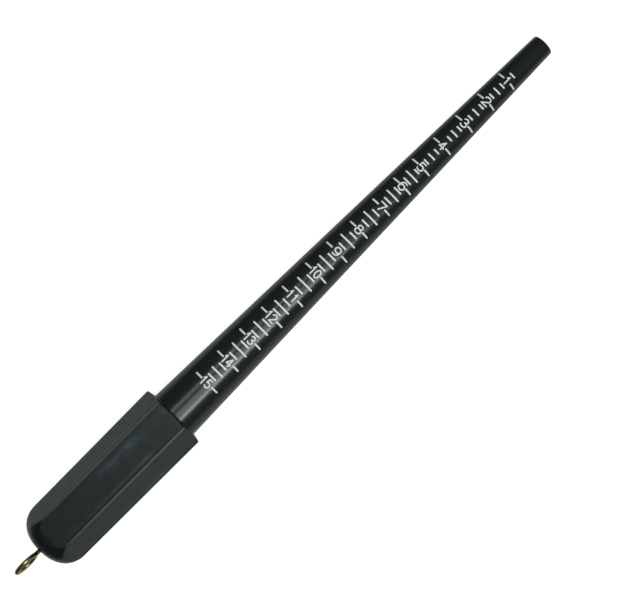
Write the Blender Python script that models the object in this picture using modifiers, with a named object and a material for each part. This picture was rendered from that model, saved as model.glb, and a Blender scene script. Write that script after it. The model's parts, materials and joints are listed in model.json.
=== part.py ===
"""Ring mandrel: a tapered ring-size rod in a hexagonal handle with a screw eye to hang it by.

The rod lies along X with its tip at +X, a flat of the handle faces down, and the origin is below
the middle of the whole length, on the plane of the handle's lowest edge. Units are metres.
"""

import math

import bpy

# Ring sizes: the inside diameter of a ring of size n is SIZE_ZERO_DIAMETER + n * DIAMETER_PER_SIZE.
SIZE_ZERO_DIAMETER = 0.01163
DIAMETER_PER_SIZE = 0.0008128
SIZE_PITCH = 0.01418  # length of the rod between one whole size and the next
SMALLEST_SIZE = 1
LARGEST_SIZE = 15
TIP_PAST_SMALLEST = 0.0262
MOUTH_TO_LARGEST = 0.02085

# Rod: a hollow moulding, closed at the tip, with a spigot that is glued into the handle.
TIP_EDGE_RADIUS = 0.0007
TIP_CROWN = 0.0003  # the end face is slightly domed
ROD_WALL = 0.0026
CORE_END_TO_TIP = 0.014
ROD_ENTRY = 0.0015  # how far the full taper goes into the handle's mouth
FILLET_LENGTH = 0.0005  # of the fillet that thickens the rod towards the mouth
FILLET_RISE = 0.0003
FILLET_GAP = 0.0001  # between the fillet and the mouth's end face
SPIGOT_RADIUS = 0.0112
SPIGOT_LENGTH = 0.044
SPIGOT_CHAMFER = 0.001

# Handle: a drafted hexagon with a domed end.
HANDLE_LENGTH = 0.08655
MOUTH_CORNER_RADIUS = 0.01675
END_CORNER_RADIUS = 0.01611
RIDGE_RADIUS = 0.0004
DOME_LENGTH = 0.0146
DOME_RADIUS = 0.01625
DOME_FULLNESS = 2.4  # exponent of the dome's curve: 2 is an ellipse, more is blunter
MOUTH_FALL = 0.00085  # how far the corners of the mouth lie behind its middle
MOUTH_LAND_RADIUS = 0.0131
SOCKET_GAP = 0.0003
REAR_CORE_RADIUS = 0.0104
REAR_CORE_END_RADIUS = 0.0078
END_WALL = 0.0035
BOSS_RADIUS = 0.0042
BOSS_LENGTH = 0.0165
PILOT_RADIUS = 0.00125

# Screw eye: one bent wire with a threaded shank.
WIRE_RADIUS = 0.001
EYE_REACH = 0.0153  # from the handle's end to the far side of the loop
LOOP_RADIUS = 0.0057  # to the middle of the wire
LOOP_JOINS_AT = math.radians(38)
LOOP_ENDS_AT = math.radians(344)
EYE_ROLL = math.radians(85)  # the loop's plane, turned about the rod's axis from lying flat
SHANK_LENGTH = 0.015
THREAD_PITCH = 0.001
THREAD_TURNS = 10
THREAD_RADIUS = 0.00108
THREAD_ROOT_RADIUS = 0.00076
POINT_LENGTH = 0.002

TURNED_STEPS = 72
SMALL_TURNED_STEPS = 24
PAST = 0.003  # how far a cutter or an envelope reaches past what it shapes

# Stations along X, worked out from the lengths above.
SCALE_LENGTH = (LARGEST_SIZE - SMALLEST_SIZE) * SIZE_PITCH
WHOLE_LENGTH = EYE_REACH + HANDLE_LENGTH + MOUTH_TO_LARGEST + SCALE_LENGTH + TIP_PAST_SMALLEST
X_TIP = WHOLE_LENGTH / 2
X_LARGEST = X_TIP - TIP_PAST_SMALLEST - SCALE_LENGTH
X_MOUTH = X_LARGEST - MOUTH_TO_LARGEST
X_END = X_MOUTH - HANDLE_LENGTH
AXIS_HEIGHT = MOUTH_CORNER_RADIUS * math.cos(math.radians(30))


def rod_radius(x):
    """Radius of the taper at x: half the inside diameter of the ring that stops there."""
    size = LARGEST_SIZE - (x - X_LARGEST) / SIZE_PITCH
    return (SIZE_ZERO_DIAMETER + size * DIAMETER_PER_SIZE) / 2


def clear_scene():
    for old in list(bpy.data.objects):
        bpy.data.objects.remove(old, do_unlink=True)


def new_collection(name):
    made = bpy.data.collections.new(name)
    bpy.context.scene.collection.children.link(made)
    return made


def move_to(obj, collection):
    for home in list(obj.users_collection):
        home.objects.unlink(obj)
    collection.objects.link(obj)


def new_material(name, colour, roughness, metallic=0.0):
    made = bpy.data.materials.new(name)
    made.use_nodes = True
    shader = made.node_tree.nodes["Principled BSDF"]
    shader.inputs["Base Color"].default_value = (*colour, 1.0)
    shader.inputs["Roughness"].default_value = roughness
    shader.inputs["Metallic"].default_value = metallic
    return made


def finish(obj, material, parent):
    """Gives a part its material and shading, and places it on the object's axis."""
    obj.data.materials.clear()
    obj.data.materials.append(material)
    if obj.data.polygons:
        obj.data.shade_smooth()
        obj.data.set_sharp_from_angle(angle=math.radians(35))
    obj.parent = parent


def make_cutter(obj, collection, parent):
    move_to(obj, collection)
    obj.hide_render = True
    obj.display_type = "WIRE"
    obj.parent = parent


def turned(name, profile, steps, collection):
    """A solid of revolution about local Z, from (radius, z) points that run down its outer side."""
    mesh = bpy.data.meshes.new(name)
    points = [(radius, 0.0, z) for radius, z in profile]
    edges = [(i, i + 1) for i in range(len(points) - 1)]
    mesh.from_pydata(points, edges, [])
    obj = bpy.data.objects.new(name, mesh)
    collection.objects.link(obj)
    screw = obj.modifiers.new("turn", "SCREW")
    screw.axis = "Z"
    screw.steps = steps
    screw.render_steps = steps
    screw.use_merge_vertices = True
    screw.merge_threshold = 0.00001
    screw.use_smooth_shade = True
    return obj


def evaluated_mesh_object(obj, name, collection):
    """A plain mesh object with the evaluated shape of obj, which is then removed."""
    graph = bpy.context.evaluated_depsgraph_get()
    mesh = bpy.data.meshes.new_from_object(obj.evaluated_get(graph))
    matrix = obj.matrix_world.copy()
    parent = obj.parent
    bpy.data.objects.remove(obj, do_unlink=True)
    made = bpy.data.objects.new(name, mesh)
    mesh.name = name
    collection.objects.link(made)
    made.parent = parent
    made.matrix_world = matrix
    return made


def add_boolean(obj, other, operation):
    boolean = obj.modifiers.new(operation.lower(), "BOOLEAN")
    boolean.operation = operation
    boolean.solver = "EXACT"
    boolean.object = other


def arc(centre, radius, start, end, points):
    """(radius, z) points on a circular arc, both ends included, angles in radians from +radius."""
    angles = [start + (end - start) * i / (points - 1) for i in range(points)]
    return [(centre[0] + radius * math.cos(a), centre[1] + radius * math.sin(a)) for a in angles]


def fillet_profile(points):
    """(radius, z) points where the rod thickens before the mouth, then drops back to its taper."""
    profile = []
    start = X_MOUTH + FILLET_LENGTH
    end = X_MOUTH + FILLET_GAP
    for i in range(points + 1):
        x = start + (end - start) * i / points
        rise = FILLET_RISE * ((start - x) / FILLET_LENGTH) ** 2
        profile.append((rod_radius(x) + rise, x))
    profile.append((rod_radius(end), end))
    return profile


def make_rod(collection, parent, material):
    """The tapered rod. Its local Z is the object's X."""
    edge = TIP_EDGE_RADIUS
    edge_centre = (rod_radius(X_TIP) - edge, X_TIP - TIP_CROWN - edge)
    x_step = X_MOUTH - ROD_ENTRY
    x_butt = X_MOUTH - SPIGOT_LENGTH
    x_core = X_TIP - CORE_END_TO_TIP
    core_tip_radius = rod_radius(x_core) - ROD_WALL
    profile = [(0.0, X_TIP)]
    profile += arc(edge_centre, edge, math.pi / 2, 0, 4)
    profile += fillet_profile(4)
    profile += [(rod_radius(x_step), x_step), (SPIGOT_RADIUS, x_step)]
    profile += [(SPIGOT_RADIUS, x_butt + SPIGOT_CHAMFER), (SPIGOT_RADIUS - SPIGOT_CHAMFER, x_butt)]
    profile += [(SPIGOT_RADIUS - ROD_WALL, x_butt), (SPIGOT_RADIUS - ROD_WALL, x_step)]
    profile += arc((0.0, x_core - core_tip_radius), core_tip_radius, 0, math.pi / 2, 5)[:-1]
    profile += [(0.0, x_core)]
    rod = turned("mandrel_rod", profile, TURNED_STEPS, collection)
    finish(rod, material, parent)


def dome_profile(points):
    """(radius, z) points of the handle's domed end, from its widest circle to the end's middle."""
    profile = []
    for i in range(points + 1):
        turn = math.pi / 2 * i / points
        power = 2 / DOME_FULLNESS
        radius = DOME_RADIUS * math.cos(turn) ** power if i < points else 0.0
        along = DOME_LENGTH * math.sin(turn) ** power
        profile.append((radius, X_END + DOME_LENGTH - along))
    return profile


def make_hexagon(collection, parent):
    """The handle's six-sided body, longer at both ends than the finished handle."""
    slope = (MOUTH_CORNER_RADIUS - END_CORNER_RADIUS) / HANDLE_LENGTH
    bpy.ops.mesh.primitive_cone_add(
        vertices=6,
        radius1=END_CORNER_RADIUS - slope * PAST,
        radius2=MOUTH_CORNER_RADIUS + slope * PAST,
        depth=HANDLE_LENGTH + 2 * PAST,
        location=(0.0, 0.0, (X_MOUTH + X_END) / 2),
    )
    hexagon = bpy.context.active_object
    hexagon.name = "handle_grip"
    move_to(hexagon, collection)
    hexagon.parent = parent
    bevel = hexagon.modifiers.new("ridges", "BEVEL")
    bevel.width = RIDGE_RADIUS
    bevel.segments = 2
    bevel.limit_method = "ANGLE"
    bevel.angle_limit = math.radians(30)
    return hexagon


def make_handle(collection, cutters, parent, material):
    """The hexagon, kept inside a turned envelope, with its socket, rear hollow and pilot hole cut."""
    handle = make_hexagon(collection, parent)

    clear_radius = MOUTH_CORNER_RADIUS + PAST
    mouth_slope = MOUTH_FALL / (MOUTH_CORNER_RADIUS - MOUTH_LAND_RADIUS)
    flare_z = X_MOUTH - mouth_slope * (clear_radius - MOUTH_LAND_RADIUS)
    envelope_profile = [(0.0, X_MOUTH), (MOUTH_LAND_RADIUS, X_MOUTH), (clear_radius, flare_z)]
    envelope_profile += [(clear_radius, X_END + 2 * DOME_LENGTH)]
    envelope_profile += dome_profile(10)
    envelope = turned("handle_envelope", envelope_profile, TURNED_STEPS, cutters)
    make_cutter(envelope, cutters, parent)
    add_boolean(handle, envelope, "INTERSECT")

    entry_radius = rod_radius(X_MOUTH - ROD_ENTRY) + SOCKET_GAP
    z_entry = X_MOUTH - ROD_ENTRY - SOCKET_GAP
    z_socket = X_MOUTH - SPIGOT_LENGTH - SOCKET_GAP
    z_rear = X_END + END_WALL
    socket_radius = SPIGOT_RADIUS + SOCKET_GAP
    hollow_profile = [(0.0, X_MOUTH + PAST), (entry_radius, X_MOUTH + PAST)]
    hollow_profile += [(entry_radius, z_entry), (socket_radius, z_entry), (socket_radius, z_socket)]
    hollow_profile += [(REAR_CORE_RADIUS, z_socket), (REAR_CORE_END_RADIUS, z_rear)]
    hollow_profile += [(BOSS_RADIUS, z_rear), (BOSS_RADIUS, X_END + BOSS_LENGTH)]
    hollow_profile += [(0.0, X_END + BOSS_LENGTH)]
    hollow = turned("handle_hollow", hollow_profile, TURNED_STEPS, cutters)
    make_cutter(hollow, cutters, parent)
    add_boolean(handle, hollow, "DIFFERENCE")

    z_pilot = X_END + BOSS_LENGTH + PAST
    pilot_profile = [(0.0, z_pilot), (PILOT_RADIUS, z_pilot)]
    pilot_profile += [(PILOT_RADIUS, X_END - PAST), (0.0, X_END - PAST)]
    pilot = turned("pilot_hole", pilot_profile, SMALL_TURNED_STEPS, cutters)
    make_cutter(pilot, cutters, parent)
    add_boolean(handle, pilot, "DIFFERENCE")

    finish(handle, material, parent)


def loop_path():
    """Points of the bent wire in its own plane: u out of the handle's end, v sideways."""
    centre_u = EYE_REACH - WIRE_RADIUS - LOOP_RADIUS
    join = (
        centre_u - LOOP_RADIUS * math.cos(LOOP_JOINS_AT),
        LOOP_RADIUS * math.sin(LOOP_JOINS_AT),
    )
    # A cubic curve bends the wire from the shank's axis onto the loop.
    reach = LOOP_RADIUS * 0.28
    controls = [
        (WIRE_RADIUS, 0.0),
        (WIRE_RADIUS + reach, 0.0),
        (join[0] - reach * math.sin(LOOP_JOINS_AT), join[1] - reach * math.cos(LOOP_JOINS_AT)),
        join,
    ]
    points = [(-SHANK_LENGTH / 4, 0.0)]
    bend_steps = 7
    for i in range(bend_steps):
        t = i / bend_steps
        weights = ((1 - t) ** 3, 3 * t * (1 - t) ** 2, 3 * t * t * (1 - t), t**3)
        points.append(tuple(sum(w * c[k] for w, c in zip(weights, controls)) for k in (0, 1)))
    loop_steps = 32
    for i in range(loop_steps + 1):
        angle = LOOP_JOINS_AT + (LOOP_ENDS_AT - LOOP_JOINS_AT) * i / loop_steps
        points.append((centre_u - LOOP_RADIUS * math.cos(angle), LOOP_RADIUS * math.sin(angle)))
    return points


def make_shank(collection, parent):
    """The threaded shank: rings of the thread's pitch, then the gimlet point."""
    z_top = X_END - WIRE_RADIUS / 2
    z_thread = X_END + SHANK_LENGTH - POINT_LENGTH - THREAD_TURNS * THREAD_PITCH
    profile = [(0.0, X_END + SHANK_LENGTH)]
    for i in reversed(range(THREAD_TURNS)):
        z_ring = z_thread + i * THREAD_PITCH
        profile.append((THREAD_ROOT_RADIUS, z_ring + THREAD_PITCH))
        profile.append((THREAD_RADIUS, z_ring + THREAD_PITCH / 2))
    profile += [(THREAD_ROOT_RADIUS, z_thread), (WIRE_RADIUS * 0.98, z_thread - THREAD_PITCH / 2)]
    profile += [(WIRE_RADIUS * 0.98, z_top), (0.0, z_top)]
    return turned("eye_shank", profile, SMALL_TURNED_STEPS, collection)


def make_screw_eye(collection, cutters, parent, material):
    """The wire loop, turned about the rod's axis, joined to its threaded shank."""
    curve = bpy.data.curves.new("eye_wire", "CURVE")
    curve.dimensions = "3D"
    curve.bevel_depth = WIRE_RADIUS
    curve.bevel_resolution = 3
    curve.use_fill_caps = True
    path = loop_path()
    spline = curve.splines.new("POLY")
    spline.points.add(len(path) - 1)
    for point, (u, v) in zip(spline.points, path):
        y = v * math.cos(EYE_ROLL)
        x = -v * math.sin(EYE_ROLL)
        point.co = (x, y, X_END - u, 1.0)
    wire = bpy.data.objects.new("eye_wire", curve)
    collection.objects.link(wire)
    wire.parent = parent
    eye = evaluated_mesh_object(wire, "screw_eye", collection)
    weld = eye.modifiers.new("weld", "WELD")
    weld.merge_threshold = 0.00001
    shank = make_shank(cutters, parent)
    make_cutter(shank, cutters, parent)
    add_boolean(eye, shank, "UNION")
    finish(eye, material, parent)


def main():
    clear_scene()
    parts = new_collection("ring_mandrel")
    cutters = new_collection("cutters")

    # Everything is modelled along this empty's Z, which lies along the object's X at axis height.
    axis = bpy.data.objects.new("rod_axis", None)
    parts.objects.link(axis)
    axis.location = (0.0, 0.0, AXIS_HEIGHT)
    axis.rotation_euler = (0.0, math.pi / 2, 0.0)
    bpy.context.view_layer.update()

    gloss_black = new_material("gloss_black_plastic", (0.012, 0.013, 0.014), 0.25)
    satin_black = new_material("satin_black_plastic", (0.026, 0.031, 0.032), 0.5)
    brass_plate = new_material("brass_plated_wire", (0.55, 0.45, 0.2), 0.3, metallic=1.0)

    make_rod(parts, axis, gloss_black)
    make_handle(parts, cutters, axis, satin_black)
    make_screw_eye(parts, cutters, axis, brass_plate)


main()
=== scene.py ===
"""Looks of the ring mandrel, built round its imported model. Metres, with +X towards the rod's tip.

The rod, the handle and the screw eye are made again as fine meshes of the CAD's own shape, and the
printed scale is laid on the rod as thin raised ink. The mandrel lies as it does on a bench, on the
lower edge of the handle's mouth and on the tip, so the floor is what tilts.
"""

import json
import math

import bmesh
import bpy
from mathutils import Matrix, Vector


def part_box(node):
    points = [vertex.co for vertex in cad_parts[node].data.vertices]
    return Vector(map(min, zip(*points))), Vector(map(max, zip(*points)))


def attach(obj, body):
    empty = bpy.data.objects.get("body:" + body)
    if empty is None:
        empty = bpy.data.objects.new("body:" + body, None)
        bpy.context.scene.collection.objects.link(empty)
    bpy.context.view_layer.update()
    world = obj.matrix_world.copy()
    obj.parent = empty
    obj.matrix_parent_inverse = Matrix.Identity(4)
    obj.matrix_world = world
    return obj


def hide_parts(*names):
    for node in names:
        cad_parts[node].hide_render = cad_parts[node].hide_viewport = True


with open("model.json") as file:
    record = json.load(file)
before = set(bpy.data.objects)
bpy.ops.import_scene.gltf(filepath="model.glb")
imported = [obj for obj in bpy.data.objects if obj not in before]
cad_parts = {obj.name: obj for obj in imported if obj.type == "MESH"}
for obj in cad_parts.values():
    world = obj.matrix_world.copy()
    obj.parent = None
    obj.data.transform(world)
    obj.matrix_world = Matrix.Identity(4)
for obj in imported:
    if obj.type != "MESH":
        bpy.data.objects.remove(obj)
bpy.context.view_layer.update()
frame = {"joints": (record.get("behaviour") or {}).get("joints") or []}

MM = 0.001
SIXTH = math.pi / 3  # one side of the handle's hexagon
SHARP_ANGLE = math.radians(40)  # edges bent further than this stay sharp

# Stations, read from the frame.
eye_joint = frame["joints"][0]
X_END = eye_joint["pos_m"][0]
AXIS_HEIGHT = eye_joint["pos_m"][2]
X_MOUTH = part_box("handle_grip")[1].x
X_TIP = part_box("mandrel_rod")[1].x
X_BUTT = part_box("mandrel_rod")[0].x
X_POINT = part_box("screw_eye")[1].x
X_LOOP_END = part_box("screw_eye")[0].x

# Ring sizes and the taper.
SIZE_ZERO_DIAMETER = 11.63 * MM
DIAMETER_PER_SIZE = 0.8128 * MM
SIZE_PITCH = 14.18 * MM
SMALLEST_SIZE = 1
LARGEST_SIZE = 15
X_SMALLEST = X_TIP - 26.2 * MM

# Rod.
TIP_EDGE_RADIUS = 0.7 * MM
TIP_CROWN = 0.3 * MM
TIP_EDGE_END = 88.36  # degrees, where the tip's rounded edge meets the taper
ROD_WALL = 2.6 * MM
CORE_END_TO_TIP = 14 * MM
ROD_ENTRY = 1.5 * MM
SPIGOT_RADIUS = 11.2 * MM
SPIGOT_CHAMFER = 1 * MM
FILLET_LENGTH = 0.5 * MM
FILLET_RISE = 0.3 * MM
FILLET_GAP = 0.1 * MM
ROD_COLUMNS = 256
TAPER_STEPS = 36
FILLET_STEPS = 8

# Handle.
MOUTH_CORNER_RADIUS = 16.745 * MM
END_CORNER_RADIUS = 16.11 * MM
RIDGE_RADIUS = 0.67 * MM
FACE_CROWN = 0.03 * MM
DOME_LENGTH = 14.6 * MM
DOME_RADIUS = 16.25 * MM
DOME_FULLNESS = 2.4
DOME_REACH = 1.12  # how far the dome's own stations run, as a share of its length
DOME_STEPS = 64
FIRST_STATION = 0.0022  # share of their run where the first one lies, just outside the pilot hole
STATION_CROWDING = 1.9  # above 1, stations lie closer together towards the dome's end
FACE_BLEND = 1.6 * MM  # rounding where the middle of a face runs into the dome
RIDGE_BLEND = 0.05 * MM
MOUTH_FALL = 0.85 * MM
MOUTH_LAND_RADIUS = 13.1 * MM
MOUTH_EDGE_RADIUS = 0.3 * MM
MOUTH_LIP = 0.12 * MM
BODY_STEPS = 24
EDGE_STEPS = 6  # over the mouth's rounded edge, and again across its end face
SOCKET_GAP = 0.3 * MM
REAR_CORE_RADIUS = 10.4 * MM
REAR_CORE_END_RADIUS = 7.8 * MM
END_WALL = 3.5 * MM
BOSS_RADIUS = 4.2 * MM
BOSS_LENGTH = 16.5 * MM
PILOT_RADIUS = 1.25 * MM
PILOT_FLARE = 0.06 * MM
PILOT_FLARE_DEPTHS = (0.3 * MM, 0.12 * MM)  # where it starts, and where it ends

# Painted highlights, pale ridge lines and dull places on the handle. Places are measured across a face
# from its middle.
RIDGE_WEAR_AND_HIGHLIGHT_WIDTH = 0.45 * MM
LEAST_RIDGE_WEAR_AND_HIGHLIGHT = 0.55  # at the handle's end, rising to full near its middle
MARKS_START = 10 * MM  # from the handle's end
RIDGE_WEAR_AND_HIGHLIGHT_FADE = 6 * MM
# A band and a patch of painted highlight: paler colour standing in for the softboxes' reflections on the
# faces.
BAND_PLACE = 5.75 * MM
BAND_WIDTH = 0.55 * MM
BAND_FADE = 0.75  # share of the handle's length over which it fades out towards the handle's end
PATCH_PLACE = -3.9 * MM
PATCH_WIDTH = 1.8 * MM
PATCH_FADE = 0.42
HIGHLIGHT_PEAK = 0.77  # share of the handle's length where the band and patch are strongest
HIGHLIGHT_DROP = 0.06  # share over which they drop from there to their resting level
HIGHLIGHT_REST = 0.12
HIGHLIGHT_CURVE = 1.4
SIDE_BAND = 1.7  # strength of the band on every face but the top one
LIT_SIDE_PAINT = 0.12  # painted lighter tone over the whole of each face towards -Y, the side the key softbox lights
GRIME_PLACE = 7 * MM
GRIME_WIDTH = 0.7 * MM
TOP_GRIME = 0.12
SIDE_GRIME = 0.45

# Screw eye.
WIRE_RADIUS = 1 * MM
LOOP_RADIUS = 5.7 * MM
LOOP_JOINS_AT = math.radians(38)
LOOP_ENDS_AT = math.radians(344)
EYE_ROLL = math.radians(85)
THREAD_PITCH = 1 * MM
THREAD_TURNS = 10
THREAD_RADIUS = 1.08 * MM
THREAD_ROOT_RADIUS = 0.76 * MM
POINT_LENGTH = 2 * MM
POINT_RADIUS = 0.02 * MM
THREAD_STEEPNESS = 2.6  # above 2, a plain root is left between the ridges
STEPS_PER_TURN = 12
SHANK_SHARE = 0.98  # plain shank, of the wire's radius
BEND_PULL = 0.28  # how gently the neck bends into the loop, as a share of the loop's radius
BEND_STEPS = 18
LOOP_STEPS = 110
WIRE_COLUMNS = 28
CUT_END = ((0.14, 0.93), (0.22, 0.8), (0.25, 0.6))  # (how far out, how wide), of the wire's radius

# Printed scale.
SCALE_ROLL = math.radians(3.5)  # its middle line, turned from +Z towards -Y
TICK_STROKE = 0.86 * MM
DIGIT_STROKE = 0.7 * MM
INK_HEIGHT = 0.03 * MM
INK_DEPTH = 0.05 * MM  # how far a mark's underside lies inside the rod
STEP = 0.22 * MM  # spacing of the points along a stroke
CAP_TURNS = (15, 35, 55, 72, 85)  # degrees round a stroke's end
# A stroke's section: (place from side to side, height), of half its width and of INK_HEIGHT.
STROKE_TOP = ((-1, 0), (-0.9, 0.7), (-0.5, 0.95), (0, 1), (0.5, 0.95), (0.9, 0.7), (1, 0))

# Ticks, each row holding from its size up: reach from the scale's middle line in millimetres. Beside
# a whole size's number it is the outer and inner end of the two strokes.
WHOLE_TICKS = ((9, 6.37, 3.3), (0, 5.25, 2.3))
HALF_TICKS = ((14, 3.1), (8, 4.22), (7, 4.15), (5, 3.5), (0, 1.8))
QUARTER_TICKS = ((9, 2.07), (5.5, 1.93), (0, 1.25))
TICK_LIMIT = 0.77  # of the rod's radius


# ---- meshes ---------------------------------------------------------------------------------


def skin(name, rows, closed=False):
    """A closed mesh over rings of points. Its rows join in a loop, or end in a fan at each end."""
    mesh = bpy.data.meshes.new(name)
    shape = bmesh.new()
    add_skin(shape, rows, closed)
    bmesh.ops.recalc_face_normals(shape, faces=shape.faces[:])
    shape.to_mesh(mesh)
    shape.free()
    return new_piece(name, mesh)


def add_skin(shape, rows, closed):
    """The faces of skin, added to a shape that may already hold others."""
    rings = [[shape.verts.new(point) for point in row] for row in rows]
    count = len(rows[0])
    pairs = list(zip(rings, rings[1:]))
    if closed:
        pairs.append((rings[-1], rings[0]))
    for ring, following in pairs:
        for i in range(count):
            j = (i + 1) % count
            shape.faces.new((ring[i], ring[j], following[j], following[i]))
    if closed:
        return
    for ring in (rings[0], rings[-1]):
        middle = sum((v.co for v in ring), Vector()) / count
        centre = shape.verts.new(middle)
        for i in range(count):
            shape.faces.new((ring[i], ring[(i + 1) % count], centre))


def new_piece(name, mesh):
    """A smooth-shaded object of a mesh, sharp where its faces meet at a hard edge."""
    mesh.shade_smooth()
    mesh.set_sharp_from_angle(angle=SHARP_ANGLE)
    piece = bpy.data.objects.new(name, mesh)
    bpy.context.scene.collection.objects.link(piece)
    return piece


def arc(centre, radius, start, end, points):
    """Points on a circular arc, both ends included, angles in degrees."""
    angles = [math.radians(start + (end - start) * i / (points - 1)) for i in range(points)]
    return [(centre[0] + radius * math.cos(a), centre[1] + radius * math.sin(a)) for a in angles]


def rod_radius(x):
    """Radius of the rod's taper, from the ring size at a station."""
    size = SMALLEST_SIZE + (X_SMALLEST - x) / SIZE_PITCH
    return (SIZE_ZERO_DIAMETER + size * DIAMETER_PER_SIZE) / 2


def about_axis(x, radius, angle):
    """A point at an angle from +Z towards -Y about the rod's axis."""
    return Vector((x, -radius * math.sin(angle), AXIS_HEIGHT + radius * math.cos(angle)))


def fillet_rise(x):
    """How much thicker than its taper the rod is close to the handle's mouth."""
    if x < X_MOUTH + FILLET_GAP:
        return 0.0
    share = max(0.0, (X_MOUTH + FILLET_LENGTH - x) / FILLET_LENGTH)
    return FILLET_RISE * share**2


def make_rod():
    """The rod turned about its axis: crowned tip, taper, fillet, spigot, then its hollow inside."""
    edge = TIP_EDGE_RADIUS
    x_step = X_MOUTH - ROD_ENTRY
    x_core = X_TIP - CORE_END_TO_TIP
    core_tip = rod_radius(x_core) - ROD_WALL
    tip_radius = rod_radius(X_TIP)
    profile = []
    for i in range(1, 12):
        share = i / 12
        profile.append((X_TIP - TIP_CROWN * share**2, (tip_radius - edge) * share))
    profile += arc((X_TIP - TIP_CROWN - edge, tip_radius - edge), edge, 0, TIP_EDGE_END, 9)
    taper_start = X_TIP - TIP_CROWN - 2 * edge
    fillet_start = X_MOUTH + FILLET_LENGTH
    for i in range(TAPER_STEPS):
        x = taper_start + (fillet_start - taper_start) * i / TAPER_STEPS
        profile.append((x, rod_radius(x)))
    x_gap = X_MOUTH + FILLET_GAP
    for i in range(FILLET_STEPS + 1):
        x = fillet_start + (x_gap - fillet_start) * i / FILLET_STEPS
        profile.append((x, rod_radius(x) + fillet_rise(x)))
    profile.append((x_gap, rod_radius(x_gap)))
    profile += [(x_step, rod_radius(x_step)), (x_step, SPIGOT_RADIUS)]
    profile += [(X_BUTT + SPIGOT_CHAMFER, SPIGOT_RADIUS), (X_BUTT, SPIGOT_RADIUS - SPIGOT_CHAMFER)]
    profile += [(X_BUTT, SPIGOT_RADIUS - ROD_WALL), (x_step, SPIGOT_RADIUS - ROD_WALL)]
    profile += [(x_core - core_tip, core_tip)]
    profile += arc((x_core - core_tip, 0.0), core_tip, 85, 5, 7)
    turns = [2 * math.pi * i / ROD_COLUMNS for i in range(ROD_COLUMNS)]
    rows = [[about_axis(x, r, a) for a in turns] for x, r in profile]
    return skin("rod", rows)


# ---- handle ---------------------------------------------------------------------------------


def handle_angles():
    """Directions round the handle, close together near its six ridges. A ridge is at 30 degrees."""
    near_ridge = [0.12, 0.28, 0.46, 0.68, 0.95, 1.3, 1.9, 3, 4.5, 6, 7, 8, 9, 10.5, 13, 16, 20, 25]
    sector = [-a for a in reversed(near_ridge)] + [0] + near_ridge + [30]
    return [math.radians(30 + 60 * k + a) for k in range(6) for a in sector]


def from_flat(angle):
    """The angle from the middle of the nearest flat, from minus to plus half a SIXTH."""
    return (angle + SIXTH / 2) % SIXTH - SIXTH / 2


def hexagon_radius(angle, corner):
    """Distance from the axis to a hexagon with rounded ridges, in a direction from a flat's middle."""
    off_flat = abs(from_flat(angle))
    off_ridge = SIXTH / 2 - off_flat
    centre = corner - RIDGE_RADIUS / math.cos(SIXTH / 2)
    tangent = math.atan2(RIDGE_RADIUS / 2, centre + RIDGE_RADIUS * math.cos(SIXTH / 2))
    if off_ridge >= tangent:
        return corner * math.cos(SIXTH / 2) / math.cos(off_flat)
    across = centre * math.sin(off_ridge)
    return centre * math.cos(off_ridge) + math.sqrt(RIDGE_RADIUS**2 - across**2)


def smooth_least(a, b, blend):
    """The lesser of two lengths, with a rounded change from one to the other."""
    share = max(blend - abs(a - b), 0.0) / blend
    return min(a, b) - share * share * blend / 4


def corner_radius(x):
    """The hexagon's corner at a station: it widens steadily from the end to the mouth."""
    share = (x - X_END) / (X_MOUTH - X_END)
    return END_CORNER_RADIUS + (MOUTH_CORNER_RADIUS - END_CORNER_RADIUS) * share


def dome_radius(x):
    """The dome's radius. Past its foot it widens on, which leaves the hexagon alone there."""
    share = (X_END + DOME_LENGTH - x) / DOME_LENGTH
    if share <= 0:
        return DOME_RADIUS * (1 - share)
    return DOME_RADIUS * (1 - share**DOME_FULLNESS) ** (1 / DOME_FULLNESS)


def face_crown(x, angle):
    """How far a face stands out of true flat: it swells a little between its ridges."""
    across = math.tan(abs(from_flat(angle))) / math.tan(SIXTH / 2)
    along = (x - X_END) / (X_MOUTH - X_END)
    swell = math.sin(math.pi * min(1.0, max(0.0, along))) ** 0.5
    return FACE_CROWN * (1 - across**2) ** 2 * swell


def side_radius(x, angle):
    """The handle's outside: the lesser of hexagon and dome, blended most over a face's middle."""
    to_ridge = abs(from_flat(angle)) / (SIXTH / 2)
    blend = RIDGE_BLEND + (FACE_BLEND - RIDGE_BLEND) * (1 - to_ridge**2) ** 2
    hexagon = hexagon_radius(angle, corner_radius(x)) + face_crown(x, angle)
    return smooth_least(hexagon, dome_radius(x), blend)


def mouth_x(radius):
    """Where the mouth's end face lies at a distance from the axis: it falls back to its corners."""
    fall = (radius - MOUTH_LAND_RADIUS) / (MOUTH_CORNER_RADIUS - MOUTH_LAND_RADIUS)
    return X_MOUTH - MOUTH_FALL * max(fall, 0.0)


def dome_stations():
    """Stations along the dome, close together at its end, from the pilot hole to the body."""
    shares = [(i / DOME_STEPS) ** STATION_CROWDING for i in range(DOME_STEPS)]
    run = DOME_LENGTH * DOME_REACH
    return [X_END + run * (FIRST_STATION + (1 - FIRST_STATION) * share) for share in shares]


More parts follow.
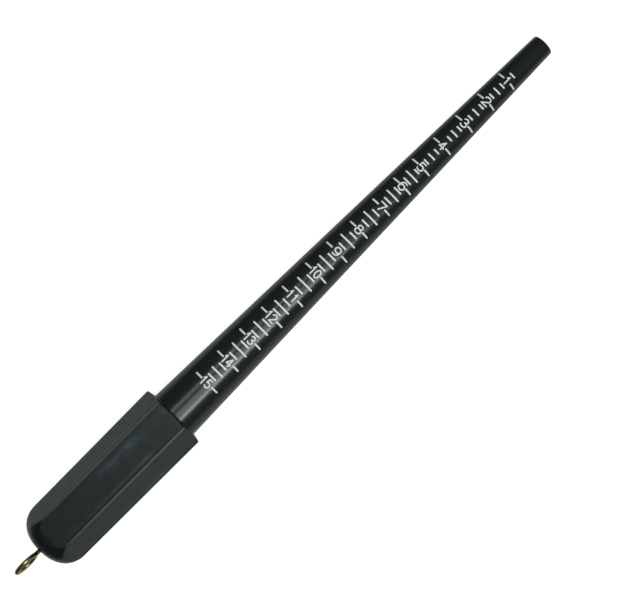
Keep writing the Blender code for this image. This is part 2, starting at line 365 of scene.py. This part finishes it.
def make_handle():
    """The handle from the pilot hole over its outside and in at the mouth, then back along its inside."""
    angles = handle_angles()
    rows = []
    for x in dome_stations():
        rows.append([about_axis(x, side_radius(x, a), a) for a in angles])
    x_body = X_END + DOME_LENGTH * DOME_REACH
    edge = MOUTH_EDGE_RADIUS
    for i in range(BODY_STEPS + 1):
        row = []
        for a in angles:
            x_last = mouth_x(hexagon_radius(a, MOUTH_CORNER_RADIUS)) - edge
            x = x_body + (x_last - x_body) * i / BODY_STEPS
            row.append(about_axis(x, side_radius(x, a), a))
        rows.append(row)
    # The edge between a side and the end face, then the end face in to its land.
    for i in range(1, EDGE_STEPS + 1):
        turn = math.pi / 2 * i / EDGE_STEPS
        row = []
        for a in angles:
            outer = hexagon_radius(a, MOUTH_CORNER_RADIUS)
            radius = outer - edge * (1 - math.cos(turn))
            x = mouth_x(radius) - edge * (1 - math.sin(turn))
            row.append(about_axis(x, radius, a))
        rows.append(row)
    for i in range(1, EDGE_STEPS + 1):
        row = []
        for a in angles:
            outer = hexagon_radius(a, MOUTH_CORNER_RADIUS) - edge
            radius = outer + (MOUTH_LAND_RADIUS - outer) * i / EDGE_STEPS
            row.append(about_axis(mouth_x(radius), radius, a))
        rows.append(row)
    for x, radius in socket_profile():
        rows.append([about_axis(x, radius, a) for a in angles])
    handle = skin("handle", rows, closed=True)
    add_wear(handle)
    return handle


def socket_profile():
    """(x, radius) of the inside, from the mouth through the socket and rear hollow to the pilot hole."""
    lip = MOUTH_LIP
    entry_radius = rod_radius(X_MOUTH - ROD_ENTRY) + SOCKET_GAP
    x_entry = X_MOUTH - ROD_ENTRY - SOCKET_GAP
    x_socket = X_BUTT - SOCKET_GAP
    x_rear = X_END + END_WALL
    x_boss = X_END + BOSS_LENGTH
    socket_radius = SPIGOT_RADIUS + SOCKET_GAP
    points = [(X_MOUTH, entry_radius + lip), (X_MOUTH - lip * 0.3, entry_radius + lip * 0.3)]
    points += [(X_MOUTH - lip, entry_radius), (x_entry, entry_radius), (x_entry, socket_radius)]
    points += [(x_socket, socket_radius), (x_socket, REAR_CORE_RADIUS)]
    points += [(x_rear, REAR_CORE_END_RADIUS), (x_rear, BOSS_RADIUS), (x_boss, BOSS_RADIUS)]
    flare_start, flare_end = PILOT_FLARE_DEPTHS
    points += [(x_boss, PILOT_RADIUS), (X_END + flare_start, PILOT_RADIUS)]
    points += [(X_END + flare_end, PILOT_RADIUS + PILOT_FLARE)]
    return points


def rubbed_share(along, fade):
    """How strong the painted highlight on a face is at a share of the handle's length: more up to where
    it peaks, then little.
    """
    if along > HIGHLIGHT_PEAK:
        return max(HIGHLIGHT_REST, 1 - (along - HIGHLIGHT_PEAK) / HIGHLIGHT_DROP)
    return max(0.0, 1 - (HIGHLIGHT_PEAK - along) / fade) ** HIGHLIGHT_CURVE


def hump(place, middle, width):
    """1 at the middle, falling away smoothly on both sides."""
    return math.exp(-(((place - middle) / width) ** 2))


def add_wear(handle):
    """Three amounts for handle_plastic: pale ridge lines, partly wear and partly painted highlight;
    painted highlight on the faces; and dull grime.
    """
    wear = handle.data.attributes.new("wear", "FLOAT", "POINT")
    sheen = handle.data.attributes.new("sheen", "FLOAT", "POINT")
    dull = handle.data.attributes.new("dull", "FLOAT", "POINT")
    for vertex in handle.data.vertices:
        x, y, z = vertex.co
        z -= AXIS_HEIGHT
        radius = math.hypot(y, z)
        if radius < MOUTH_LAND_RADIUS or x < X_END + MARKS_START:
            continue
        angle = math.atan2(-y, z)
        turned_in = from_flat(angle)
        off_ridge = (SIXTH / 2 - abs(turned_in)) * radius
        fade = min(1.0, (x - X_END - MARKS_START) / RIDGE_WEAR_AND_HIGHLIGHT_FADE)
        across = radius * math.sin(turned_in)
        along = (x - X_END) / (X_MOUTH - X_END)
        # Pale ridge lines: partly edge wear, partly painted highlight of the rounded ridges catching the
        # softboxes, fading towards the handle's end.
        on_ridge = fade * max(0.0, 1 - off_ridge / RIDGE_WEAR_AND_HIGHLIGHT_WIDTH)
        wear.data[vertex.index].value = on_ridge * min(1.0, LEAST_RIDGE_WEAR_AND_HIGHLIGHT + along)
        # Painted highlight: a band near one ridge and a patch across the face, paler colour standing in
        # for reflections of the softboxes.
        band = hump(across, BAND_PLACE, BAND_WIDTH) * rubbed_share(along, BAND_FADE)
        patch = hump(across, PATCH_PLACE, PATCH_WIDTH) * rubbed_share(along, PATCH_FADE)
        grime = hump(across, GRIME_PLACE, GRIME_WIDTH)
        if abs(angle) < SIXTH / 2:
            sheen.data[vertex.index].value = max(band, patch)
            dull.data[vertex.index].value = grime * TOP_GRIME
        else:
            # Painted highlight: a lighter tone over the faces towards -Y, the side the key softbox
            # lights.
            least = LIT_SIDE_PAINT if angle > 0 else 0.0
            sheen.data[vertex.index].value = max(band * SIDE_BAND, least)
            dull.data[vertex.index].value = grime * SIDE_GRIME


# ---- screw eye ------------------------------------------------------------------------------


def eye_path():
    """(u, v, station) along the wire: u out of the handle's end, v sideways, from point to loop end."""
    reach = X_END - X_LOOP_END
    shank = X_POINT - X_END
    centre_u = reach - WIRE_RADIUS - LOOP_RADIUS
    join = (
        centre_u - LOOP_RADIUS * math.cos(LOOP_JOINS_AT),
        LOOP_RADIUS * math.sin(LOOP_JOINS_AT),
    )
    pull = LOOP_RADIUS * BEND_PULL
    controls = [
        (WIRE_RADIUS, 0.0),
        (WIRE_RADIUS + pull, 0.0),
        (join[0] - pull * math.sin(LOOP_JOINS_AT), join[1] - pull * math.cos(LOOP_JOINS_AT)),
        join,
    ]
    steps = int(shank / THREAD_PITCH * STEPS_PER_TURN)
    points = [(-shank + (shank + WIRE_RADIUS) * i / steps, 0.0) for i in range(steps)]
    for i in range(BEND_STEPS):
        t = i / BEND_STEPS
        weights = ((1 - t) ** 3, 3 * t * (1 - t) ** 2, 3 * t * t * (1 - t), t**3)
        points.append(tuple(sum(w * c[k] for w, c in zip(weights, controls)) for k in (0, 1)))
    for i in range(LOOP_STEPS + 1):
        angle = LOOP_JOINS_AT + (LOOP_ENDS_AT - LOOP_JOINS_AT) * i / LOOP_STEPS
        points.append((centre_u - LOOP_RADIUS * math.cos(angle), LOOP_RADIUS * math.sin(angle)))
    return points


def thread_radius(x, angle):
    """Radius of the shank where it is inside the handle, at a right-handed angle about +X."""
    depth_to_point = X_POINT - x
    if depth_to_point < POINT_LENGTH:
        return max(THREAD_ROOT_RADIUS * depth_to_point / POINT_LENGTH, POINT_RADIUS)
    start = X_POINT - POINT_LENGTH - THREAD_TURNS * THREAD_PITCH
    plain = WIRE_RADIUS * SHANK_SHARE
    if x < start - THREAD_PITCH:
        return plain
    phase = (x / THREAD_PITCH - angle / (2 * math.pi)) % 1.0
    ridge = max(0.0, 1 - abs(phase - 0.5) * THREAD_STEEPNESS)
    threaded = THREAD_ROOT_RADIUS + (THREAD_RADIUS - THREAD_ROOT_RADIUS) * ridge
    share = min(1.0, max(0.0, (x - start + THREAD_PITCH) / THREAD_PITCH))
    return threaded * share + plain * (1 - share)


def make_eye():
    """The screw eye: a round section carried along the wire's path."""
    sideways = Vector((0.0, math.cos(EYE_ROLL), math.sin(EYE_ROLL)))
    outwards = Vector((-1.0, 0.0, 0.0))
    origin = Vector((X_END, 0.0, AXIS_HEIGHT))
    across = outwards.cross(sideways)
    places = [origin + outwards * u + sideways * v for u, v in eye_path()]
    rows = []
    for i, place in enumerate(places):
        before = places[max(i - 1, 0)]
        after = places[min(i + 1, len(places) - 1)]
        along = (after - before).normalized()
        beside = across.cross(along)
        row = []
        for k in range(WIRE_COLUMNS):
            turn = 2 * math.pi * k / WIRE_COLUMNS
            direction = across * math.cos(turn) + beside * math.sin(turn)
            radius = WIRE_RADIUS
            if place.x > X_END:
                radius = thread_radius(place.x, math.atan2(direction.z, direction.y))
            row.append(place + direction * radius)
        rows.append(row)
    # The cut end of the wire has a slightly rounded edge.
    end = places[-1]
    along = (end - places[-2]).normalized()
    rim = rows[-1]
    for push, share in CUT_END:
        rows.append([end + along * WIRE_RADIUS * push + (p - end) * share for p in rim])
    return skin("eye", rows)


# ---- printed scale --------------------------------------------------------------------------


def line(*points):
    """One straight-sided stroke through the points."""
    return [list(points)]


def bow(cx, cy, rx, ry, start, end):
    """One stroke along an ellipse, angles in degrees counter-clockwise from +x."""
    steps = max(6, int(abs(end - start) / 12))
    angles = [math.radians(start + (end - start) * i / steps) for i in range(steps + 1)]
    return [[(cx + rx * math.cos(a), cy + ry * math.sin(a)) for a in angles]]


def joined(*strokes):
    """Strokes that follow one another made into one."""
    points = []
    for stroke in strokes:
        for point in stroke[0]:
            if not points or math.dist(points[-1], point) > 0.001:
                points.append(point)
    return [points]


def turned_round(strokes):
    """Strokes turned by half a turn in their unit square."""
    return [[(1 - x, 1 - y) for x, y in stroke] for stroke in strokes]


# Digits in a unit square, x across the scale and y up the digit.
SIX = joined(bow(0.62, 0.42, 0.6, 0.58, 62, 180), bow(0.5, 0.32, 0.48, 0.32, 180, 540))
DIGITS = {
    "0": bow(0.5, 0.5, 0.5, 0.5, 0, 360),
    "1": line((0.5, 0), (0.5, 1)) + line((0.5, 1), (-0.5, 0.74)),
    "2": joined(bow(0.5, 0.72, 0.46, 0.28, 165, -28), line((0.9, 0.58), (0.02, 0)))
    + line((0.02, 0), (1, 0)),
    "3": bow(0.46, 0.76, 0.42, 0.24, 150, -90) + bow(0.46, 0.27, 0.5, 0.27, 90, -150),
    "4": line((0.7, 0), (0.7, 1)) + line((0.7, 1), (0, 0.3)) + line((0, 0.3), (1, 0.3)),
    "5": line((0.9, 1), (0.16, 1)) + line((0.16, 1), (0.08, 0.53))
    + joined(line((0.08, 0.53), (0.2, 0.6)), bow(0.48, 0.31, 0.5, 0.31, 110, -145)),
    "6": SIX,
    "7": line((0, 1), (1, 1)) + line((1, 1), (0.36, 0)),
    "8": bow(0.5, 0.77, 0.4, 0.23, 0, 360) + bow(0.5, 0.27, 0.5, 0.27, 0, 360),
    "9": turned_round(SIX),
}
DIGIT_HEIGHT = 4 * MM  # between the middles of the top and bottom strokes
SINGLE_WIDTH = 3 * MM
WIDTH_SHARES = {"2": 1.08, "4": 0.88, "6": 1.05, "7": 1.08}  # of SINGLE_WIDTH
PAIR_WIDTH = 2.35 * MM
ONE_WIDTH = 0.7 * MM
DIGIT_SPACE = 1.2 * MM
ONES_SPACE = 2.2 * MM  # between the two digits of 11

# The artwork is stretched unevenly: how far a mark stands from its true station, in millimetres
# towards the tip, at the sizes given. Marks between them are moved in proportion.
SHIFTS = [
    (15, 0.0), (14, -0.45), (13.75, -0.65), (13.5, -0.3), (13, -0.4), (12.75, -0.7), (12, -0.45),
    (11.25, -1.5), (11, -1.05), (10.25, 0.0), (10, 0.0), (9.25, -0.35), (8.25, -0.45), (8, 0.0),
    (7.75, 0.6), (7.25, 0.35), (7, 0.65), (6.75, 1.25), (6, 0.35), (5, -1.2), (4.25, -1.7),
    (4, -1.2), (3.75, -0.1), (3.25, -0.6), (3, -0.4), (2, 0.1), (1, -0.2), (0, -0.2),
]


def numeral_strokes(size, x_mark):
    """Strokes of a whole size's number, as (x along the rod, distance across the scale)."""
    text = str(size)
    full = SINGLE_WIDTH * WIDTH_SHARES.get(text, 1) if len(text) == 1 else PAIR_WIDTH
    widths = [ONE_WIDTH if digit == "1" else full for digit in text]
    space = ONES_SPACE if text == "11" else DIGIT_SPACE
    starts = [0.0]
    for width in widths:
        starts.append(starts[-1] + width + space)
    total = starts[len(text) - 1] + widths[-1]
    strokes = []
    for digit, width, start in zip(text, widths, starts):
        for stroke in DIGITS[digit]:
            placed = []
            for x, y in stroke:
                across = start + x * width - total / 2
                placed.append((x_mark + (y - 0.5) * DIGIT_HEIGHT, across))
            strokes.append(placed)
    return strokes


def size_x(size):
    """Where a size's mark is printed."""
    for (above, shift_above), (below, shift_below) in zip(SHIFTS, SHIFTS[1:]):
        if size >= below:
            share = (size - below) / (above - below)
            shift = (shift_below + (shift_above - shift_below) * share) * MM
            return X_SMALLEST - (size - SMALLEST_SIZE) * SIZE_PITCH + shift


def row_for(table, size):
    """The numbers of a tick table's first row that holds for a size."""
    return next(row[1:] for row in table if size >= row[0])


def tick_strokes(quarters):
    """The strokes of the tick at a number of quarter sizes. Whole sizes leave room for the number."""
    size = quarters / 4
    x = size_x(size)
    if quarters % 4 == 0:
        outer, inner = row_for(WHOLE_TICKS, size)
        outer = min(outer * MM, TICK_LIMIT * rod_radius(x))
        return [[(x, side * inner * MM), (x, side * outer)] for side in (-1, 1)]
    (reach,) = row_for(QUARTER_TICKS if quarters % 2 else HALF_TICKS, size)
    return [[(x, -reach * MM), (x, reach * MM)]]


def resampled(stroke):
    """The stroke's points about STEP apart, with its ends kept."""
    points = [stroke[0]]
    for start, end in zip(stroke, stroke[1:]):
        pieces = max(1, round(math.dist(start, end) / STEP))
        for i in range(1, pieces + 1):
            share = i / pieces
            points.append(tuple(a + (b - a) * share for a, b in zip(start, end)))
    return points


def on_rod(x, across, lift):
    """A point over the rod's surface, for a place on the flat artwork pressed down on it."""
    radius = rod_radius(x)
    return about_axis(x, radius + lift, SCALE_ROLL + math.asin(across / radius))


def add_stroke(shape, stroke, half):
    """One inked stroke: a thin ribbon with round ends, its underside just inside the rod."""
    points = [Vector(p) for p in resampled(stroke)]
    looped = (points[0] - points[-1]).length < STEP / 4
    if looped:
        points.pop()
    count = len(points)
    rows = []
    for i, point in enumerate(points):
        before = points[i - 1] if looped or i else point
        after = points[(i + 1) % count] if looped or i < count - 1 else point
        rows.append(ribbon_row(point, (after - before).normalized(), half))
    if not looped:
        first = (points[1] - points[0]).normalized()
        last = (points[-1] - points[-2]).normalized()
        for degrees in CAP_TURNS:
            turn = math.radians(degrees)
            width = half * math.cos(turn)
            push = half * math.sin(turn)
            rows.insert(0, ribbon_row(points[0] - first * push, first, width))
            rows.append(ribbon_row(points[-1] + last * push, last, width))
    add_skin(shape, rows, looped)


def ribbon_row(point, along, half):
    """The section of a stroke: points from side to side over its top, and two under it."""
    beside = Vector((-along.y, along.x))
    row = []
    for share, lift in STROKE_TOP:
        place = point + beside * (half * share)
        row.append(on_rod(place.x, place.y, INK_HEIGHT * lift))
    for share in (1, -1):
        place = point + beside * (half * share)
        row.append(on_rod(place.x, place.y, -INK_DEPTH))
    return row


def make_marks(name, strokes, width):
    """One piece of many inked strokes."""
    shape = bmesh.new()
    for stroke in strokes:
        add_stroke(shape, stroke, width / 2)
    bmesh.ops.recalc_face_normals(shape, faces=shape.faces[:])
    mesh = bpy.data.meshes.new(name)
    shape.to_mesh(mesh)
    shape.free()
    return new_piece(name, mesh)


def make_scale():
    """The ticks, from a quarter below the smallest size, and the numbers."""
    ticks = []
    first_quarter = SMALLEST_SIZE * 4 - 1
    for quarters in range(first_quarter, LARGEST_SIZE * 4 + 1):
        ticks += tick_strokes(quarters)
    numbers = []
    for size in range(SMALLEST_SIZE, LARGEST_SIZE + 1):
        numbers += numeral_strokes(size, size_x(size))
    return (
        make_marks("scale_ticks", ticks, TICK_STROKE),
        make_marks("scale_numbers", numbers, DIGIT_STROKE),
    )


# ---- materials ------------------------------------------------------------------------------


def maths(tree, operation, first, second):
    """The result of a maths node on two values, each a number or a socket."""
    node = tree.nodes.new("ShaderNodeMath")
    node.operation = operation
    for socket, value in zip(node.inputs, (first, second)):
        if isinstance(value, (int, float)):
            socket.default_value = value
        else:
            tree.links.new(value, socket)
    return node.outputs["Value"]


class Nodes:
    """A new material and short ways to add nodes to it."""

    def __init__(self, name):
        self.material = bpy.data.materials.new(name)
        self.material.use_nodes = True
        self.tree = self.material.node_tree
        self.shader = self.tree.nodes["Principled BSDF"]
        self.place = self.add("ShaderNodeTexCoord").outputs["Object"]

    def add(self, kind, **settings):
        node = self.tree.nodes.new(kind)
        for key, value in settings.items():
            if key in node.inputs:
                node.inputs[key].default_value = value
            else:
                setattr(node, key, value)
        return node

    def link(self, source, target):
        self.tree.links.new(source, target)

    def noise(self, size, detail=3.0, stretch=(1, 1, 1)):
        """Noise from 0 to 1 with features of a size in metres, drawn out along an axis by stretch."""
        mapping = self.add("ShaderNodeMapping")
        mapping.inputs["Scale"].default_value = [1 / (size * s) for s in stretch]
        self.link(self.place, mapping.inputs["Vector"])
        texture = self.add("ShaderNodeTexNoise", Detail=detail)
        texture.inputs["Scale"].default_value = 1.0
        self.link(mapping.outputs["Vector"], texture.inputs["Vector"])
        return texture.outputs["Fac"]

    def ramp(self, value, low, high, out_low, out_high):
        """value from low..high made into out_low..out_high."""
        node = self.add("ShaderNodeMapRange")
        node.clamp = True
        self.link(value, node.inputs["Value"])
        for socket, number in (
            ("From Min", low),
            ("From Max", high),
            ("To Min", out_low),
            ("To Max", out_high),
        ):
            node.inputs[socket].default_value = number
        return node.outputs["Result"]

    def mix(self, share, first, second):
        """A colour mixed from two colours, each a tuple or a socket."""
        node = self.add("ShaderNodeMix", data_type="RGBA")
        self.link(share, node.inputs["Factor"])
        for socket, colour in (("A", first), ("B", second)):
            target = [s for s in node.inputs if s.name == socket and s.type == "RGBA"][0]
            if isinstance(colour, tuple):
                target.default_value = (*colour, 1.0)
            else:
                self.link(colour, target)
        return [s for s in node.outputs if s.type == "RGBA"][0]

    def maths(self, operation, first, second):
        return maths(self.tree, operation, first, second)

    def amount(self, name):
        """One of the amounts that add_wear leaves on the mesh."""
        return self.add("ShaderNodeAttribute", attribute_name=name).outputs["Fac"]

    def bump(self, height, distance):
        node = self.add("ShaderNodeBump", Strength=1.0, Distance=distance)
        self.link(height, node.inputs["Height"])
        self.link(node.outputs["Normal"], self.shader.inputs["Normal"])

    def colour(self, source):
        self.link(source, self.shader.inputs["Base Color"])

    def roughness(self, source):
        self.link(source, self.shader.inputs["Roughness"])


def rod_plastic():
    """Glossy black moulding with faint lengthwise draw marks and the rub of rings round it."""
    nodes = Nodes("rod_plastic")
    cloud = nodes.noise(9 * MM, 2.0)
    nodes.colour(nodes.mix(cloud, (0.0115, 0.016, 0.0166), (0.0138, 0.0186, 0.019)))
    draw = nodes.noise(0.7 * MM, 2.0, stretch=(60, 1, 1))
    rub = nodes.noise(0.25 * MM, 2.0, stretch=(1, 20, 20))
    drawn = nodes.ramp(draw, 0.3, 0.7, 0.0, 0.025)
    rubbed = nodes.ramp(rub, 0.45, 0.8, 0.0, 0.02)
    nodes.roughness(nodes.maths("ADD", nodes.maths("ADD", drawn, rubbed), 0.235))
    nodes.bump(draw, 0.001 * MM)
    nodes.shader.inputs["IOR"].default_value = 1.5
    nodes.shader.inputs["Specular Tint"].default_value = (0.93, 1.0, 0.985, 1.0)
    return nodes.material


def handle_plastic():
    """Satin charcoal moulding with a fine grain, mottled, pale on its ridges from wear and painted
    highlight, with painted highlights on its faces.
    """
    nodes = Nodes("handle_plastic")
    wear = nodes.amount("wear")
    sheen = nodes.amount("sheen")
    dull = nodes.amount("dull")
    cloud = nodes.ramp(nodes.noise(16 * MM, 3.0), 0.38, 0.62, 0.0, 1.0)
    clouded = nodes.mix(cloud, (0.0064, 0.009, 0.0111), (0.0047, 0.0107, 0.0102))
    speck = nodes.ramp(nodes.noise(1.6 * MM, 4.0), 0.35, 0.7, 0.03, 0.23)
    specked = nodes.mix(speck, clouded, (0.022, 0.027, 0.026))
    # Painted highlight: a paler bluish colour laid over the faces' band, patch and lit side, broken up by
    # noise.
    highlight_breakup = nodes.ramp(nodes.noise(3 * MM, 4.0, stretch=(2.5, 1, 1)), 0.38, 0.62, 0.25, 1.0)
    with_painted_highlight = nodes.mix(nodes.maths("MULTIPLY", sheen, highlight_breakup), specked, (0.056, 0.072, 0.085))
    # Pale ridge lines, partly wear and partly painted highlight.
    nodes.colour(nodes.mix(wear, with_painted_highlight, (0.13, 0.155, 0.15)))
    level = nodes.ramp(nodes.noise(4 * MM, 3.0), 0.3, 0.7, 0.4, 0.49)
    dulled = nodes.maths("MULTIPLY", level, nodes.maths("SUBTRACT", 1.0, dull))
    nodes.link(dulled, nodes.shader.inputs["Specular IOR Level"])
    grain = nodes.noise(0.16 * MM, 2.0)
    patch = nodes.ramp(nodes.noise(6 * MM, 3.0), 0.3, 0.7, 0.3, 0.36)
    nodes.roughness(nodes.maths("SUBTRACT", patch, nodes.maths("MULTIPLY", wear, 0.08)))
    nodes.bump(grain, 0.012 * MM)
    nodes.shader.inputs["Specular Tint"].default_value = (0.84, 1.0, 0.98, 1.0)
    return nodes.material


def eye_brass():
    """Brass-plated wire, dulled olive in places, with painted shade darkening its neck next to the
    handle.
    """
    nodes = Nodes("eye_brass")
    tarnish = nodes.ramp(nodes.noise(2.2 * MM, 4.0), 0.42, 0.68, 0.0, 1.0)
    plating = nodes.mix(tarnish, (0.52, 0.46, 0.22), (0.36, 0.33, 0.17))
    split = nodes.add("ShaderNodeSeparateXYZ")
    nodes.link(nodes.place, split.inputs["Vector"])
    # Painted shade: the wire darkens towards where it enters the handle.
    neck_shade = nodes.ramp(split.outputs["X"], X_END - 4 * MM, X_END - 1.5 * MM, 0.0, 1.0)
    nodes.colour(nodes.mix(neck_shade, plating, (0.13, 0.12, 0.06)))
    nodes.roughness(nodes.ramp(tarnish, 0.0, 1.0, 0.3, 0.42))
    draw = nodes.noise(0.1 * MM, 2.0, stretch=(12, 1, 1))
    nodes.bump(draw, 0.004 * MM)
    nodes.shader.inputs["Metallic"].default_value = 1.0
    return nodes.material


def scale_ink():
    """White ink, a little thin where it is rubbed."""
    nodes = Nodes("scale_ink")
    thin = nodes.ramp(nodes.noise(0.5 * MM, 4.0), 0.58, 0.8, 0.0, 0.35)
    nodes.colour(nodes.mix(thin, (0.8, 0.84, 0.83), (0.46, 0.49, 0.49)))
    nodes.roughness(nodes.ramp(nodes.noise(0.3 * MM, 2.0), 0.3, 0.7, 0.38, 0.5))
    return nodes.material


def light_table():
    """White acrylic lit from below, as under a product photograph."""
    nodes = Nodes("light_table")
    nodes.colour(nodes.mix(nodes.noise(60 * MM, 2.0), (0.33, 0.33, 0.33), (0.35, 0.35, 0.35)))
    nodes.shader.inputs["Roughness"].default_value = 0.9
    nodes.shader.inputs["Specular IOR Level"].default_value = 0.1
    nodes.shader.inputs["Emission Color"].default_value = (1.0, 1.0, 1.0, 1.0)
    nodes.shader.inputs["Emission Strength"].default_value = 0.88
    return nodes.material


def dress(piece, material, body, slot, *nodes):
    """Gives a piece its material and body, and hides the nodes it stands for. The slot is not used."""
    piece.data.materials.append(material)
    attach(piece, body)
    if nodes:
        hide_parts(*nodes)


# ---- stage ----------------------------------------------------------------------------------

LIGHT_DISTANCE = 0.95
LIGHT_X = 0.025
LIGHT_LENGTH = 0.33
SOFTBOXES = (  # name, degrees from +Z towards -Y, width, radiance
    ("key_softbox", 34.8, 0.16, 13.0),
    ("middle_softbox", 15, 0.36, 3.4),
    ("left_softbox", -15, 0.17, 4.0),
)
FILL_SIZE = 3.0
FILL_RADIANCE = 0.4
BENCH_LEVEL = 0.52
ROOM_LEVEL = 0.06
BENCH_FULL_BELOW = -0.15  # height of a direction, 1 straight up, below which only the bench is seen
BENCH_GONE_ABOVE = 0.05  # and above which only the room is
BENCH_TINT = (0.94, 1.0, 0.955)
BENCH_END_SLOPE = 1.0  # how steeply down the bench begins to be seen towards -X, where it is short
BENCH_SIDE_SLOPE = 0.2  # the same towards +Y
BENCH_CORNER_SLOPE = 0.6  # what the -X end loses towards +Y
FLOOR_SIZE = 6.0
FLOOR_CLEARANCE = 0.02 * MM
CAMERA_LENS = 98.2
CAMERA_PLACE = (-57.6 * MM, -48.87 * MM, 819.99 * MM)
CAMERA_TURN = (5.228, -1.574, -45.394)  # degrees


def make_floor():
    """The bench under the mandrel: it touches the lower edge of the mouth and the tip."""
    x_low = X_MOUTH - MOUTH_EDGE_RADIUS
    x_high = X_TIP - TIP_CROWN - TIP_EDGE_RADIUS
    z_high = AXIS_HEIGHT - rod_radius(x_high)
    tilt = math.atan2(z_high, x_high - x_low)
    bpy.ops.mesh.primitive_plane_add(size=FLOOR_SIZE)
    floor = bpy.context.active_object
    floor.name = "floor"
    floor.rotation_euler = (0.0, -tilt, 0.0)
    floor.location = (x_low, 0.0, -FLOOR_CLEARANCE)
    floor.data.materials.append(light_table())
    floor.visible_glossy = False  # the world's lower half stands for it in reflections and bounce
    floor.visible_diffuse = False


def softbox(name, x, angle, length, width, radiance, in_reflections=True):
    """A softbox over the rod at an angle from +Z towards -Y, facing the axis, long side along X."""
    data = bpy.data.lights.new(name, "AREA")
    data.shape = "RECTANGLE"
    data.size = width
    data.size_y = length
    data.energy = radiance * math.pi * length * width
    light = bpy.data.objects.new(name, data)
    bpy.context.scene.collection.objects.link(light)
    light.location = about_axis(x, LIGHT_DISTANCE, math.radians(angle))
    aim = Vector((x, 0.0, AXIS_HEIGHT)) - light.location
    light.rotation_euler = aim.to_track_quat("-Z", "X").to_euler()
    light.visible_glossy = in_reflections
    light.visible_camera = False


def make_world():
    """White to the camera. The object sees a dark room above and the pale bench below."""
    world = bpy.data.worlds.new("studio")
    world.use_nodes = True
    tree = world.node_tree
    background = tree.nodes["Background"]
    direction = tree.nodes.new("ShaderNodeTexCoord").outputs["Generated"]
    split = tree.nodes.new("ShaderNodeSeparateXYZ")
    tree.links.new(direction, split.inputs["Vector"])
    x, y, z = (split.outputs[axis] for axis in "XYZ")
    leftward = maths(tree, "MAXIMUM", y, 0.0)
    endward = maths(tree, "MULTIPLY", x, -BENCH_END_SLOPE)
    behind = maths(tree, "SUBTRACT", endward, maths(tree, "MULTIPLY", leftward, BENCH_CORNER_SLOPE))
    lifted = maths(tree, "MAXIMUM", behind, maths(tree, "MULTIPLY", leftward, BENCH_SIDE_SLOPE))
    level = tree.nodes.new("ShaderNodeMapRange")
    level.inputs["From Min"].default_value = BENCH_FULL_BELOW
    level.inputs["From Max"].default_value = BENCH_GONE_ABOVE
    level.inputs["To Min"].default_value = BENCH_LEVEL
    level.inputs["To Max"].default_value = ROOM_LEVEL
    tree.links.new(maths(tree, "ADD", lifted, z), level.inputs["Value"])
    seen = tree.nodes.new("ShaderNodeLightPath").outputs["Is Camera Ray"]
    strength = tree.nodes.new("ShaderNodeMix")
    tree.links.new(seen, strength.inputs["Factor"])
    tree.links.new(level.outputs["Result"], strength.inputs["A"])
    strength.inputs["B"].default_value = 1.0
    tree.links.new(strength.outputs["Result"], background.inputs["Strength"])
    tint = tree.nodes.new("ShaderNodeMixRGB")
    tree.links.new(seen, tint.inputs["Fac"])
    tint.inputs["Color1"].default_value = (*BENCH_TINT, 1.0)
    tint.inputs["Color2"].default_value = (1.0, 1.0, 1.0, 1.0)
    tree.links.new(tint.outputs["Color"], background.inputs["Color"])
    bpy.context.scene.world = world


def make_lights():
    """Three softboxes that draw the rod's streaks, and a fill that isn't reflected."""
    for name, angle, width, radiance in SOFTBOXES:
        softbox(name, LIGHT_X, angle, LIGHT_LENGTH, width, radiance)
    softbox("fill_overhead", 0.0, 0, FILL_SIZE, FILL_SIZE, FILL_RADIANCE, in_reflections=False)


def make_camera():
    data = bpy.data.cameras.new("camera")
    data.lens = CAMERA_LENS
    camera = bpy.data.objects.new("camera", data)
    bpy.context.scene.collection.objects.link(camera)
    camera.location = CAMERA_PLACE
    camera.rotation_euler = [math.radians(a) for a in CAMERA_TURN]
    bpy.context.scene.camera = camera


make_camera()
make_floor()
make_lights()
make_world()
bpy.context.scene.view_settings.view_transform = "Standard"

dress(make_rod(), rod_plastic(), "mandrel", "rod_plastic", "mandrel_rod")
dress(make_handle(), handle_plastic(), "mandrel", "handle_plastic", "handle_grip")
dress(make_eye(), eye_brass(), "eye", "eye_brass", "screw_eye")
ink = scale_ink()
for marks in make_scale():
    dress(marks, ink, "mandrel", "scale_ink")
